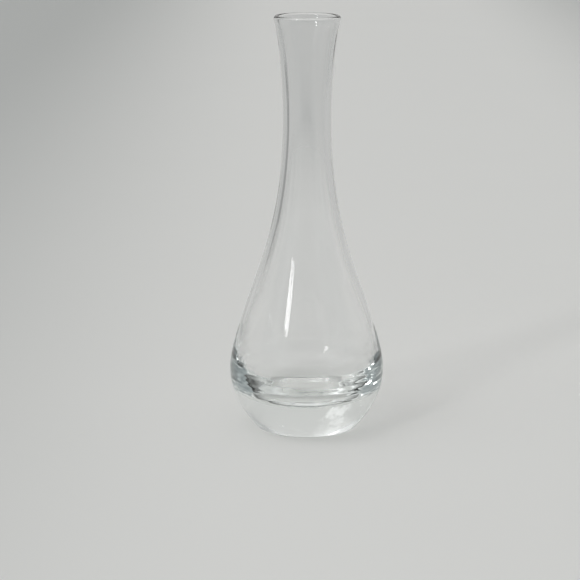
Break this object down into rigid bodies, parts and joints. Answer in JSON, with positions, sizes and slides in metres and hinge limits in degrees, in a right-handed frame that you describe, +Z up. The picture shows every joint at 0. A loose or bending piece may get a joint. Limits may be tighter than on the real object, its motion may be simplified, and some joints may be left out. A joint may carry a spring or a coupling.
{
  "type": "bud vase",
  "caption": "Clear glass bud vase: teardrop body on a thick solid glass base, drawn up into a slim neck with a gently flared mouth, for a stem or two of cut flowers.",
  "frame": {"origin": "centre of the foot, in the plane that the vase stands on", "axes": "+Z up along the vase's axis, from the foot to the mouth; the vase is turned about Z, so X and Y are interchangeable"},
  "size_m": [0.075, 0.075, 0.2],
  "materials": {
    "clear_glass": "clear, flame-polished blown soda-lime glass with a faint grey-green tint in thick places"
  },
  "bodies": {
    "root": {"glass_vase": "clear_glass"}
  },
  "joints": []
}
